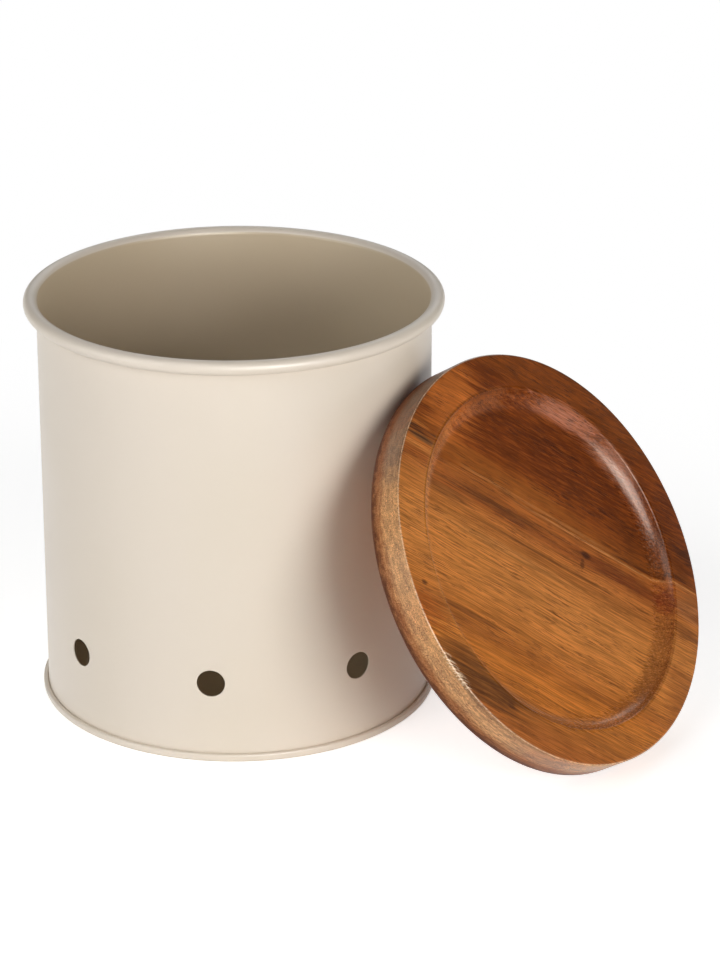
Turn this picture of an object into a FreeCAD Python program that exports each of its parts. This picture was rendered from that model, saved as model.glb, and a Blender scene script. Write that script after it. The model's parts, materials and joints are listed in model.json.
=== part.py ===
import FreeCAD, Part
import math
import os

from FreeCAD import Vector

# Garlic keeper: a vented sheet steel canister and the wooden lid that leans on it.
# Millimetres. The origin is the centre of the canister's foot, on the table, and +Z is up.
# One vent faces -Y. Bearings are degrees in plan, counted from +X towards +Y.

# Canister, a rolled steel sheet with a curled rim
body_diameter = 126.0
overall_height = 135.4
wall_sheet = 0.5
bead_diameter = 4.6
curl_end_gap = 0.3

# Vents, a ring of punched holes
vent_diameter = 9.0
vent_count = 8
vent_height = 26.7
vent_bearing = -90.0

# Side seam, where the sheet's ends lap and are welded, on the side away from the lid
side_seam_bearing = 112.5
side_seam_width = 4.0
side_seam_rise = 0.35
side_seam_end_gap = 1.5

# Base pan and the double seam that locks it to the wall
pan_sheet = 0.5
seam_height = 2.7
seam_play = 0.06
hook_end_play = 0.15
fold_radius = 0.06
panel_rise = 4.0
panel_corner_radius = 0.8
panel_ring_inset = 10.0
panel_ring_step = 1.0
panel_ring_bend = 0.8
panel_ring_slope = 40.0

# Lid, turned from two glued staves
lid_diameter = 135.4
lid_thickness = 13.2
lid_face_round = 0.8
lid_back_round = 2.0
recess_diameter = 112.0
recess_depth = 5.0
recess_cove_radius = 7.0
recess_lip_round = 0.6
glue_line_offset = 16.0
glue_line_turn = -44.5

# Locating plug under the lid, and the gasket in its groove
plug_depth = 4.5
plug_clearance = 1.2
plug_chamfer = 1.2
gasket_height = 1.8
gasket_groove_depth = 1.6
gasket_groove_play = 0.05
gasket_lip_height = 0.7
gasket_squeeze = 0.4
gasket_top_gap = 1.1

# Where the lid stands: its tilt from level, where it touches the wall, and where it faces
lean_angle = 57.2
lean_bearing = -23.1
face_bearing = -29.5
lean_gap = 0.3
lean_steps = 1440
circles_per_face = 8

# Sizes that follow from those above
body_radius = body_diameter / 2
wall_inner = body_radius - wall_sheet
bead_radius = bead_diameter / 2
bead_height = overall_height - bead_radius
bead_centre = wall_inner + bead_radius
lid_radius = lid_diameter / 2
recess_radius = recess_diameter / 2
plug_radius = wall_inner - plug_clearance
lip_radius = wall_inner + gasket_squeeze
gasket_top = -gasket_top_gap
gasket_bottom = gasket_top - gasket_height
gasket_middle = (gasket_top + gasket_bottom) / 2


def on_section(r, z):
    """Point of a section: radius along X, height along Z."""
    return Vector(r, 0, z)


def line(start, end):
    """Straight edge between two points of a section."""
    return Part.LineSegment(start, end).toShape()


def arc(centre, radius, start_angle, end_angle):
    """Arc of a section about a centre, between two angles in degrees."""
    points = []
    for angle in (start_angle, (start_angle + end_angle) / 2, end_angle):
        turn = math.radians(angle)
        points.append(centre + Vector(radius * math.cos(turn), 0, radius * math.sin(turn)))
    return Part.Arc(*points).toShape()


def outline(points):
    """Closed face through the points of a section, joined by straight edges."""
    corners = [on_section(r, z) for r, z in points]
    return Part.Face(Part.makePolygon(corners + corners[:1]))


def turned(face):
    """Solid made by turning a section once round the Z axis."""
    return face.revolve(Vector(0, 0, 0), Vector(0, 0, 1), 360)


class SheetStrip:
    """Section through a folded sheet, laid down as straight runs and bends."""

    def __init__(self, thickness, start, heading):
        self.half = thickness / 2
        self.point = start
        self.heading = heading
        self.left_edges = []
        self.right_edges = []
        self.start_cap = line(self.side(-1), self.side(1))

    def direction(self):
        """Unit vector along the sheet."""
        turn = math.radians(self.heading)
        return Vector(math.cos(turn), 0, math.sin(turn))

    def left(self):
        """Unit vector square to the sheet, on its left."""
        along = self.direction()
        return Vector(-along.z, 0, along.x)

    def side(self, sign):
        """Point on the sheet's left face (sign 1) or right face (sign -1)."""
        return self.point + self.left() * (sign * self.half)

    def straight(self, length):
        """Carry the sheet straight on."""
        starts = self.side(1), self.side(-1)
        self.point = self.point + self.direction() * length
        self.left_edges.append(line(starts[0], self.side(1)))
        self.right_edges.append(line(starts[1], self.side(-1)))

    def bend(self, angle, inside_radius):
        """Bend the sheet, to its left for a positive angle, about an inside radius."""
        turn = math.copysign(1, angle)
        middle_radius = inside_radius + self.half
        centre = self.point + self.left() * (turn * middle_radius)
        first = self.heading - 90 * turn
        for sign, edges in ((1, self.left_edges), (-1, self.right_edges)):
            edges.append(arc(centre, middle_radius - sign * turn * self.half, first, first + angle))
        self.heading += angle
        arm = math.radians(first + angle)
        self.point = centre + Vector(middle_radius * math.cos(arm), 0, middle_radius * math.sin(arm))

    def face(self):
        """Closed face of the whole section."""
        end_cap = line(self.side(1), self.side(-1))
        edges = [self.start_cap] + self.left_edges + [end_cap] + self.right_edges
        return Part.Face(Part.Wire(Part.__sortEdges__(edges)))


# Double seam: five layers of sheet, counted from inside the canister outwards
chuck_wall_middle = wall_inner - seam_play - pan_sheet / 2
wall_middle = body_radius - wall_sheet / 2
cover_hook_middle = body_radius + seam_play + pan_sheet / 2
body_hook_middle = cover_hook_middle + pan_sheet / 2 + seam_play + wall_sheet / 2
seaming_wall_middle = body_hook_middle + wall_sheet / 2 + seam_play + pan_sheet / 2
foot_radius = seaming_wall_middle + pan_sheet / 2

body_fold_floor = pan_sheet + seam_play
body_hook_top = seam_height - pan_sheet - hook_end_play
cover_hook_bottom = body_fold_floor + wall_sheet + hook_end_play
pan_fold_radius = fold_radius + wall_sheet + seam_play


def wall_section():
    """Hook at the foot, straight wall, and the outward curl that makes the rim's bead."""
    fold = fold_radius + wall_sheet / 2
    fold_centre_height = body_fold_floor + wall_sheet + fold_radius
    curl_end = math.degrees(math.acos((bead_radius - wall_sheet - curl_end_gap) / bead_radius))
    strip = SheetStrip(wall_sheet, on_section(body_hook_middle, body_hook_top), -90)
    strip.straight(body_hook_top - fold_centre_height)
    strip.bend(-90, fold_radius)
    strip.straight(body_hook_middle - wall_middle - 2 * fold)
    strip.bend(-90, fold_radius)
    strip.straight(bead_height - fold_centre_height)
    strip.bend(curl_end - 360, bead_radius - wall_sheet)
    return strip.face()


def vent_cutters():
    """Punches of the vents, each a cylinder that crosses the wall once."""
    cutters = []
    for index in range(vent_count):
        turn = math.radians(vent_bearing + index * 360 / vent_count)
        outwards = Vector(math.cos(turn), math.sin(turn), 0)
        start = outwards * (body_radius / 2) + Vector(0, 0, vent_height)
        cutters.append(Part.makeCylinder(vent_diameter / 2, body_radius, start, outwards))
    return cutters


def side_seam():
    """Raised lap of the sheet's two ends, from above the foot's seam to below the bead."""
    low = seam_height + side_seam_end_gap
    high = bead_height - bead_radius - side_seam_end_gap
    overlap = wall_sheet / 2
    section = outline([(body_radius - overlap, low), (body_radius + side_seam_rise, low),
                       (body_radius + side_seam_rise, high), (body_radius - overlap, high)])
    spread = math.degrees(side_seam_width / body_radius)
    strip = section.revolve(Vector(0, 0, 0), Vector(0, 0, 1), spread)
    strip.rotate(Vector(0, 0, 0), Vector(0, 0, 1), side_seam_bearing - spread / 2)
    return strip


def canister_wall():
    """Rolled wall with its curled rim, vents and side seam."""
    wall = turned(wall_section()).cut(vent_cutters())
    return wall.fuse(side_seam()).removeSplitter()


def pan_section():
    """Cover hook, seaming wall, chuck wall and the countersunk panel with its pressed ring."""
    cover_fold = fold_radius + pan_sheet / 2
    foot_fold = pan_fold_radius + pan_sheet / 2
    fold_top = seam_height - pan_sheet - fold_radius
    fold_foot = pan_sheet + pan_fold_radius
    corner = panel_corner_radius + pan_sheet / 2
    strip = SheetStrip(pan_sheet, on_section(cover_hook_middle, cover_hook_bottom), 90)
    strip.straight(fold_top - cover_hook_bottom)
    strip.bend(-90, fold_radius)
    strip.straight(seaming_wall_middle - cover_hook_middle - 2 * cover_fold)
    strip.bend(-90, fold_radius)
    strip.straight(fold_top - fold_foot)
    strip.bend(-90, pan_fold_radius)
    strip.straight(seaming_wall_middle - chuck_wall_middle - 2 * foot_fold)
    strip.bend(-90, pan_fold_radius)
    strip.straight(panel_rise + pan_sheet / 2 - corner - fold_foot)
    strip.bend(90, panel_corner_radius)
    panel_ring(strip, chuck_wall_middle - corner)
    return strip.face()


def panel_ring(strip, start_radius):
    """Flat margin, a pressed step down that stiffens the panel, and its flat centre."""
    slope = math.radians(panel_ring_slope)
    middle = panel_ring_bend + pan_sheet / 2
    bend_drop = 2 * middle * (1 - math.cos(slope))
    slant = max(0.1, (panel_ring_step - bend_drop) / math.sin(slope))
    step_width = 2 * middle * math.sin(slope) + slant * math.cos(slope)
    strip.straight(panel_ring_inset)
    strip.bend(panel_ring_slope, panel_ring_bend)
    strip.straight(slant)
    strip.bend(-panel_ring_slope, panel_ring_bend)
    strip.straight(start_radius - panel_ring_inset - step_width)


def base_pan():
    """Pressed pan that closes the canister's foot."""
    return turned(pan_section())


def recess_edges():
    """Section of the face's recess, from its lip on the face to its floor at the lid's axis.

    The lip's round touches the face and the cove, so its centre is both radii from the cove's.
    """
    floor_height = lid_thickness - recess_depth
    cove_rise = recess_cove_radius - recess_depth
    cove_reach = math.sqrt(recess_cove_radius ** 2 - cove_rise ** 2)
    cove_centre = on_section(recess_radius - cove_reach, floor_height + recess_cove_radius)
    lip_drop = cove_rise + recess_lip_round
    lip_reach = math.sqrt((recess_cove_radius + recess_lip_round) ** 2 - lip_drop ** 2)
    lip_centre = cove_centre + Vector(lip_reach, 0, -lip_drop)
    cove_end = math.degrees(math.atan2(-lip_drop, lip_reach))
    lip = on_section(lip_centre.x, lid_thickness)
    return lip, [arc(lip_centre, recess_lip_round, 90, 180 + cove_end),
                 arc(cove_centre, recess_cove_radius, cove_end, -90),
                 line(on_section(cove_centre.x, floor_height), on_section(0, floor_height)),
                 line(on_section(0, floor_height), on_section(0, -plug_depth))]


def lid_blank():
    """Lid turned in one: flange, recess with its cove, and locating plug with the groove.

    The flange's back is at height 0 and its face at lid_thickness.
    """
    groove_radius = plug_radius - gasket_groove_depth
    face_centre = on_section(lid_radius - lid_face_round, lid_thickness - lid_face_round)
    back_centre = on_section(lid_radius - lid_back_round, lid_back_round)
    below = [(0, -plug_depth), (plug_radius - plug_chamfer, -plug_depth),
             (plug_radius, plug_chamfer - plug_depth), (plug_radius, gasket_bottom),
             (groove_radius, gasket_bottom), (groove_radius, gasket_top),
             (plug_radius, gasket_top), (plug_radius, 0), (lid_radius - lid_back_round, 0)]
    corners = [on_section(r, z) for r, z in below]
    lip, recess = recess_edges()
    edges = [line(a, b) for a, b in zip(corners, corners[1:])]
    edges.append(arc(back_centre, lid_back_round, -90, 0))
    edges.append(line(on_section(lid_radius, lid_back_round), on_section(lid_radius, face_centre.z)))
    edges.append(arc(face_centre, lid_face_round, 0, 90))
    edges.append(line(on_section(face_centre.x, lid_thickness), lip))
    return turned(Part.Face(Part.Wire(Part.__sortEdges__(edges + recess))))


def lid_stave(blank, low, high):
    """Board of the lid between two lines across it, before the lid is stood up."""
    reach = 2 * lid_radius
    board = Part.makeBox(2 * reach, high - low, 2 * reach, Vector(-reach, low, -reach))
    return blank.common(board)


def lid_gasket():
    """Silicone ring: a root that fills the groove and a lip that wipes the mouth."""
    root_radius = plug_radius - gasket_groove_depth + gasket_groove_play
    top = gasket_top - gasket_groove_play
    bottom = gasket_bottom + gasket_groove_play
    half_lip = gasket_lip_height / 2
    shoulder = plug_radius
    tip = lip_radius - half_lip
    centre = on_section(tip, gasket_middle)
    edges = [line(on_section(root_radius, bottom), on_section(shoulder, bottom)),
             line(on_section(shoulder, bottom), on_section(tip, gasket_middle - half_lip)),
             arc(centre, half_lip, -90, 90),
             line(on_section(tip, gasket_middle + half_lip), on_section(shoulder, top)),
             line(on_section(shoulder, top), on_section(root_radius, top)),
             line(on_section(root_radius, top), on_section(root_radius, bottom))]
    return turned(Part.Face(Part.Wire(Part.__sortEdges__(edges))))


def lid_outer_circles():
    """Circles on the lid's back, plug and edges: radius, depth behind the back, rounding."""
    circles = [(lid_radius - lid_back_round, -lid_back_round, lid_back_round),
               (lid_radius - lid_face_round, lid_face_round - lid_thickness, lid_face_round),
               (lip_radius - gasket_lip_height / 2, -gasket_middle, gasket_lip_height / 2)]
    plug_face_radius = plug_radius - plug_chamfer
    for share in range(circles_per_face + 1):
        flange_width = lid_radius - lid_back_round - plug_radius
        circles.append((plug_radius + flange_width * share / circles_per_face, 0, 0))
        circles.append((plug_face_radius * share / circles_per_face, plug_depth, 0))
    circles.append((plug_radius, plug_depth - plug_chamfer, 0))
    return circles


def clear_radius(height, rounding):
    """Radius about the canister's axis at which a ball of the lid's edge clears wall and bead."""
    rise = abs(height - bead_height)
    reach = bead_radius + rounding + lean_gap
    if rise < reach:
        return bead_centre + math.sqrt(reach ** 2 - rise ** 2)
    if height < bead_height:
        return body_radius + rounding + lean_gap
    return 0


def lean_distance(points, to_contact, along_wall):
    """Least distance along the contact bearing at which every point of the lid is clear."""
    distances = []
    for point, rounding in points:
        radius = clear_radius(point.z, rounding)
        aside = point.dot(along_wall)
        if abs(aside) < radius:
            distances.append(math.sqrt(radius ** 2 - aside ** 2) - point.dot(to_contact))
    return max(distances)


def lid_stand():
    """Placement of the lid: it stands on the table on its lower edge and leans on the wall."""
    tilt = math.radians(lean_angle)
    facing = math.radians(face_bearing)
    contact = math.radians(lean_bearing)
    twist = contact - facing
    outwards = Vector(math.cos(facing), math.sin(facing), 0)
    across = Vector(-math.sin(facing), math.cos(facing), 0)
    face = outwards * math.sin(tilt) + Vector(0, 0, math.cos(tilt))
    uphill = face.cross(across)
    to_contact = Vector(math.cos(contact), math.sin(contact), 0)
    along_wall = Vector(-math.sin(contact), math.cos(contact), 0)
    circles = lid_outer_circles()
    height = max(r * math.sin(tilt) + depth * math.cos(tilt) + rounding for r, depth, rounding in circles)
    # A tilted circle is an ellipse in plan: this is the point of it that faces the wall squarely
    edge_radius, edge_depth, _ = circles[0]
    reach = math.hypot(math.cos(tilt) * math.cos(twist), math.sin(twist))
    ellipse = outwards * (math.cos(tilt) ** 2 * math.cos(twist)) + across * math.sin(twist)
    touch = ellipse * (edge_radius / reach) + outwards * (edge_depth * math.sin(tilt))
    aside = along_wall * touch.dot(along_wall) + Vector(0, 0, height)
    points = []
    for radius, depth, rounding in circles:
        for step in range(lean_steps):
            turn = 2 * math.pi * step / lean_steps
            arm = across * (radius * math.cos(turn)) + uphill * (radius * math.sin(turn))
            points.append((aside + arm - face * depth, rounding))
    centre = aside + to_contact * lean_distance(points, to_contact, along_wall)
    turn = math.radians(glue_line_turn)
    grain = across * math.cos(turn) + uphill * math.sin(turn)
    side = face.cross(grain)
    return FreeCAD.Placement(FreeCAD.Matrix(grain.x, side.x, face.x, centre.x,
                                            grain.y, side.y, face.y, centre.y,
                                            grain.z, side.z, face.z, centre.z,
                                            0, 0, 0, 1))


def main():
    """Build every piece and write it to its own file."""
    blank = lid_blank()
    stand = lid_stand()
    lid_pieces = {"lid_stave_wide": lid_stave(blank, -2 * lid_radius, glue_line_offset),
                  "lid_stave_narrow": lid_stave(blank, glue_line_offset, 2 * lid_radius),
                  "lid_gasket": lid_gasket()}
    pieces = {"canister_wall": canister_wall(), "base_pan": base_pan()}
    for name, piece in lid_pieces.items():
        piece.Placement = stand
        pieces[name] = piece
    os.makedirs("parts", exist_ok=True)
    for name, piece in pieces.items():
        piece.exportStep("parts/" + name + ".step")
        box = piece.optimalBoundingBox()
        print(name, "valid", piece.isValid(), "solids", len(piece.Solids), "volume", round(piece.Volume, 1),
              "x", round(box.XMin, 2), round(box.XMax, 2), "y", round(box.YMin, 2), round(box.YMax, 2),
              "z", round(box.ZMin, 2), round(box.ZMax, 2))
    print("lid centre", stand.Base, "face direction", stand.Rotation.multVec(Vector(0, 0, 1)))


main()
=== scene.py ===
"""Garlic keeper, dressed: a painted sheet steel canister with its wooden lid leaning on it.

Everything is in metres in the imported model's frame: +Z up, the origin at the middle of the
canister's foot. Values with MM in them are written in millimetres.
"""
import json
import logging
import math
from collections.abc import Iterator
from contextlib import contextmanager
from dataclasses import dataclass, field, replace
from enum import Enum

import bmesh
import bpy
import numpy as np
from mathutils import Matrix, Vector


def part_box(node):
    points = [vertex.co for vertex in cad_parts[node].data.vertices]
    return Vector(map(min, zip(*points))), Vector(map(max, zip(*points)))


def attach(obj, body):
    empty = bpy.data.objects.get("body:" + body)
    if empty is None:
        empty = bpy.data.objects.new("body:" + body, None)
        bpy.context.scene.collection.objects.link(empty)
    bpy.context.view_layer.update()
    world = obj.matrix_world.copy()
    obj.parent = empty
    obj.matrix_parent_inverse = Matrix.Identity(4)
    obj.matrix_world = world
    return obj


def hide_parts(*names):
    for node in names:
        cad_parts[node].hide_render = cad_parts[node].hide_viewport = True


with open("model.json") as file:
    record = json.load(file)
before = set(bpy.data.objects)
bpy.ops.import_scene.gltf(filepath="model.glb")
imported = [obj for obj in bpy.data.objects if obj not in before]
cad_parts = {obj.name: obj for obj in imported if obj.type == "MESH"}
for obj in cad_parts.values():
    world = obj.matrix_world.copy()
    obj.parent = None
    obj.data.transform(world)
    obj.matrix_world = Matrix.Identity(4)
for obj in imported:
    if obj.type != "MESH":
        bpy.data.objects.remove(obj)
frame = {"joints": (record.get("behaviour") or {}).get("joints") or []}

MM = 0.001
DOUBLES_WITHIN = 0.002 * MM
CUT_WITHIN = 0.001 * MM
LOG = logging.getLogger("garlic_keeper")

Tone = tuple[float, float, float]
Step = tuple[float, float, float, float]
Span = tuple[float, float]
Swing = tuple[Tone, float, float]
Socket = bpy.types.NodeSocket
Number = float | Socket


class Body(Enum):
    """Rigid bodies that the pieces ride on."""

    CANISTER = "canister"
    LID = "lid"


class Slot(Enum):
    """Material slots of the record."""

    PAINT = "canister_paint"
    GOLDEN = "stave_golden"
    DARK = "stave_dark"
    SILICONE = "gasket_silicone"


def tone(red: int, green: int, blue: int) -> Tone:
    """Linear colour of a tone named by its 0 to 255 screen values.

    Args:
        red, green, blue: Screen values.

    Returns:
        The tone's linear red, green and blue.
    """
    screen = np.array([red, green, blue]) / 255
    linear = np.where(screen <= 0.04045, screen / 12.92, ((screen + 0.055) / 1.055) ** 2.4)
    return tuple(float(part) for part in linear)


# Meshes


def arc_points(centre: tuple[float, float], radius: float, start: float, end: float,
               steps: int) -> np.ndarray:
    """Points of an arc from start to end, in degrees, in equal steps, as rows of radius and height."""
    turn = np.radians(np.linspace(start, end, steps + 1))
    return np.array(centre) + radius * np.column_stack([np.cos(turn), np.sin(turn)])


def round_axis(radius: np.ndarray, bearing: np.ndarray, height: np.ndarray) -> np.ndarray:
    """Points (r cos t, r sin t, h) of radii r, bearings t in radians and heights h."""
    sides = (radius * np.cos(bearing), radius * np.sin(bearing), height)
    return np.stack(np.broadcast_arrays(*sides), axis=-1)


def carried_round(section: np.ndarray, columns: int) -> tuple[np.ndarray, np.ndarray]:
    """Vertices and quads of a closed section of radii and heights, carried round the Z axis in columns."""
    turn = np.arange(columns)[:, None] * (2 * np.pi / columns)
    grid = round_axis(section[:, 0], turn, section[:, 1])
    return grid.reshape(-1, 3), ring_quads(columns, len(section), closed_rows=True)


def ring_quads(columns: int, rows: int, closed_rows: bool, by_row: bool = False) -> np.ndarray:
    """Quads of a grid that closes on itself across its columns, and maybe along its rows.

    Args:
        columns: Number of columns.
        rows: Points in each column.
        closed_rows: Whether the last point of a column joins its first.
        by_row: Whether the points are listed row by row, and not column by column.

    Returns:
        Array of four vertex numbers for each quad.
    """
    column = np.arange(columns)[:, None]
    row = np.arange(rows if closed_rows else rows - 1)[None, :]
    following = (column + 1) % columns
    above = (row + 1) % rows
    quads = np.stack([column * rows + row, following * rows + row,
                      following * rows + above, column * rows + above], axis=-1).reshape(-1, 4)
    return quads % rows * columns + quads // rows if by_row else quads


@contextmanager
def edited(mesh: bpy.types.Mesh) -> Iterator[bmesh.types.BMesh]:
    """A mesh open for editing, whose faces are turned outwards when it is closed."""
    shape = bmesh.new()
    shape.from_mesh(mesh)
    yield shape
    bmesh.ops.recalc_face_normals(shape, faces=shape.faces)
    shape.to_mesh(mesh)
    shape.free()


def quad_mesh(name: str, vertices: np.ndarray, quads: np.ndarray) -> bpy.types.Mesh:
    """Mesh with its doubles merged, which closes seams and poles, and its faces turned outwards.

    Args:
        name: Name of the mesh.
        vertices: Points in metres.
        quads: Four vertex numbers for each face.

    Returns:
        The mesh.
    """
    mesh = bpy.data.meshes.new(name)
    mesh.vertices.add(len(vertices))
    mesh.vertices.foreach_set("co", vertices.astype(np.float32).ravel())
    mesh.loops.add(quads.size)
    mesh.loops.foreach_set("vertex_index", quads.astype(np.int32).ravel())
    mesh.polygons.add(len(quads))
    mesh.polygons.foreach_set("loop_start", np.arange(0, quads.size, 4, dtype=np.int32))
    mesh.update(calc_edges=True)
    with edited(mesh) as shape:
        bmesh.ops.remove_doubles(shape, verts=shape.verts, dist=DOUBLES_WITHIN)
    return mesh


def smooth(mesh: bpy.types.Mesh, crease: float) -> bpy.types.Mesh:
    """The mesh shaded smooth, with edges sharper than the crease angle, in degrees, kept sharp."""
    mesh.polygons.foreach_set("use_smooth", np.ones(len(mesh.polygons), dtype=bool))
    mesh.set_sharp_from_angle(angle=math.radians(crease))
    mesh.update()
    return mesh


def placed(name: str, data: bpy.types.ID) -> bpy.types.Object:
    """Object of a name and its data, linked to the scene."""
    thing = bpy.data.objects.new(name, data)
    bpy.context.scene.collection.objects.link(thing)
    return thing


def add_piece(mesh: bpy.types.Mesh, body: Body, finish: bpy.types.Material,
              stands_for: str | None) -> bpy.types.Object:
    """Put a finished mesh in the scene, riding on its body.

    Args:
        mesh: Mesh in the frame's metres, whose name the piece takes.
        body: Body that the piece moves with.
        finish: Material of the whole piece.
        stands_for: Name of the node that the piece replaces, or None for trim.

    Returns:
        The new object.
    """
    piece = placed(mesh.name, mesh)
    mesh.materials.append(finish)
    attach(piece, body.value)
    if stands_for:
        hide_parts(stands_for)
    LOG.info("%s: %d faces, on %s", piece.name, len(mesh.polygons), body.value)
    return piece


class SheetPath:
    """Middle line of a folded sheet, in radius and height, laid down as runs and bends."""

    def __init__(self, thickness: float, start: tuple[float, float], heading: float) -> None:
        """Start the sheet.

        Args:
            thickness: Thickness of the sheet.
            start: Radius and height of its first edge.
            heading: Direction in degrees from outwards towards up.
        """
        self.half = thickness / 2
        self.points = np.array([start])
        self.headings = np.array([heading])

    def arrow(self, angle: float) -> np.ndarray:
        """Unit vector at an angle in degrees."""
        return np.array([math.cos(math.radians(angle)), math.sin(math.radians(angle))])

    def straight(self, length: float, steps: int) -> None:
        """Carry the sheet straight on by a length, in equal steps."""
        reach = length * np.arange(1, steps + 1)[:, None] / steps
        self.points = np.vstack([self.points, self.points[-1] + reach * self.arrow(self.headings[-1])])
        self.headings = np.append(self.headings, np.full(steps, self.headings[-1]))

    def bend(self, angle: float, inside_radius: float, steps: int) -> None:
        """Bend the sheet, to its left for a positive angle.

        Args:
            angle: Angle of the bend, in degrees.
            inside_radius: Radius on the inside of the bend.
            steps: Number of equal steps.
        """
        turn = math.copysign(1, angle)
        radius = inside_radius + self.half
        centre = self.points[-1] + self.arrow(self.headings[-1] + 90) * turn * radius
        first = self.headings[-1] - 90 * turn
        self.points = np.vstack([self.points, arc_points(centre, radius, first, first + angle, steps)[1:]])
        self.headings = np.append(self.headings, np.linspace(self.headings[-1], self.headings[-1] + angle,
                                                             steps + 1)[1:])

    def follow(self, *moves: tuple[float, ...]) -> "SheetPath":
        """Carry the sheet by runs of (length, steps) and bends of (angle, inside radius, steps)."""
        for move in moves:
            (self.bend if len(move) == 3 else self.straight)(*move)
        return self

    def section(self) -> np.ndarray:
        """Closed section: the middle line set off by half the thickness, out one side and back."""
        side = np.radians(self.headings + 90)
        offset = self.half * np.column_stack([np.cos(side), np.sin(side)])
        return np.vstack([self.points + offset, (self.points - offset)[::-1]])


# Finishes


@dataclass(frozen=True)
class Figure:
    """Noise read through a smooth step, which goes from start, at low, to end, at high.

    The stretch is the noise's cells per unit along each axis. Detail and roughness are the noise's.
    """

    stretch: Tone
    detail: float
    low: float
    high: float
    start: float = 0.0
    end: float = 1.0
    roughness: float = 0.5


class Graph:
    """Node tree, with a short call for each kind of node that the finishes use."""

    def __init__(self, name: str, tree: bpy.types.NodeTree | None = None) -> None:
        """Start a material of that name with a Principled surface, or clear a tree that is given."""
        self.tree = tree
        if tree:
            tree.nodes.clear()
            return
        self.material = bpy.data.materials.new(name)
        self.material.use_nodes = True
        self.tree = self.material.node_tree
        self.tree.nodes.clear()
        self.surface = self.put("ShaderNodeBsdfPrincipled")
        self.output = self.put("ShaderNodeOutputMaterial", {"Surface": self.surface.outputs["BSDF"]})

    def feed(self, node: bpy.types.Node, sockets: dict[int | str, object]) -> None:
        """Feed a node's sockets, named or numbered, from other sockets or with plain values."""
        for key, value in sockets.items():
            socket = node.inputs[key]
            if isinstance(value, Socket):
                self.tree.links.new(value, socket)
            elif isinstance(value, tuple) and socket.type == "RGBA":
                socket.default_value = (*value, 1.0)
            else:
                socket.default_value = value

    def put(self, kind: str, sockets: dict[int | str, object] | None = None,
            **settings: object) -> bpy.types.Node:
        """Add a node of a kind, with its settings, and feed its sockets."""
        node = self.tree.nodes.new(kind)
        for key, value in settings.items():
            setattr(node, key, value)
        self.feed(node, sockets or {})
        return node

    def dress(self, sockets: dict[int | str, object]) -> bpy.types.Material:
        """Feed the surface's sockets, and give the material."""
        self.feed(self.surface, sockets)
        return self.material

    def math(self, operation: str, first: Number, second: Number, clamp: bool = False) -> Socket:
        """Result of one sum."""
        sockets = {0: first, 1: second}
        return self.put("ShaderNodeMath", sockets, operation=operation, use_clamp=clamp).outputs[0]

    def times(self, first: Number, *others: Number) -> Socket:
        """Product of numbers."""
        for other in others:
            first = self.math("MULTIPLY", first, other)
        return first

    def plus(self, first: Number, second: Number) -> Socket:
        """Sum of two numbers."""
        return self.math("ADD", first, second)

    def minus(self, first: Number, second: Number) -> Socket:
        """Difference of two numbers."""
        return self.math("SUBTRACT", first, second)

    def vector(self, operation: str, first: object, second: object) -> Socket:
        """Result of one vector sum."""
        return self.put("ShaderNodeVectorMath", {0: first, 1: second}, operation=operation).outputs[0]

    def length(self, vector: Socket) -> Socket:
        """Length of a vector."""
        return self.put("ShaderNodeVectorMath", {0: vector}, operation="LENGTH").outputs["Value"]

    def split(self, vector: Socket) -> tuple[Socket, ...]:
        """Three parts of a vector."""
        return tuple(self.put("ShaderNodeSeparateXYZ", {0: vector}).outputs)

    def place(self) -> Socket:
        """Point that is shaded, in the frame's metres."""
        return self.put("ShaderNodeTexCoord").outputs["Object"]

    def from_axis(self, place: Socket) -> Socket:
        """Distance of a place from the Z axis."""
        return self.length(self.vector("MULTIPLY", place, (1.0, 1.0, 0.0)))

    def noise(self, place: Socket, stretch: Tone, detail: float = 2.0, roughness: float = 0.5) -> Socket:
        """Noise from 0 to 1, with as many cells per unit along each axis as the stretch says."""
        stretched = self.vector("MULTIPLY", place, stretch)
        sockets = {"Vector": stretched, "Scale": 1.0, "Detail": detail, "Roughness": roughness}
        return self.put("ShaderNodeTexNoise", sockets, noise_dimensions="3D").outputs["Fac"]

    def swing(self, place: Socket, stretch: Tone, detail: float, reach: float) -> Socket:
        """Noise about 0: the noise less a half, times the reach."""
        return self.times(self.minus(self.noise(place, stretch, detail), 0.5), reach)

    def window(self, value: Socket, low: float, high: float, start: float = 0.0,
               end: float = 1.0) -> Socket:
        """Smooth step of a value from start, at low, to end, at high."""
        sockets = dict(enumerate((value, low, high, start, end)))
        return self.put("ShaderNodeMapRange", sockets, interpolation_type="SMOOTHSTEP").outputs["Result"]

    def between(self, value: Socket, rise: tuple[float, float], fall: tuple[float, float]) -> Socket:
        """1 between a smooth rise and a smooth fall, both from a lower to a higher value, and 0 outside."""
        return self.times(self.window(value, *rise), self.window(value, *reversed(fall)))

    def figure(self, place: Socket, figure: Figure) -> Socket:
        """Level of a figure at a place."""
        noise = self.noise(place, figure.stretch, figure.detail, figure.roughness)
        return self.window(noise, figure.low, figure.high, figure.start, figure.end)

    def crowded(self, place: Socket, marks: Figure, crowd: Figure) -> Socket:
        """Level of a figure's marks, which thin out where the crowd's level is low."""
        return self.times(self.figure(place, marks), self.figure(place, crowd))

    def scaled(self, colour: object, factor: Number) -> Socket:
        """Colour multiplied by a number."""
        sockets = {0: colour, "Scale": factor}
        return self.put("ShaderNodeVectorMath", sockets, operation="SCALE").outputs[0]

    def shaded(self, colour: object, place: Socket, figure: Figure, strength: float = 1.0) -> Socket:
        """Colour times one plus a figure's level by a strength."""
        start, end = (1 + strength * level for level in (figure.start, figure.end))
        return self.scaled(colour, self.figure(place, replace(figure, start=start, end=end)))

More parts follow.
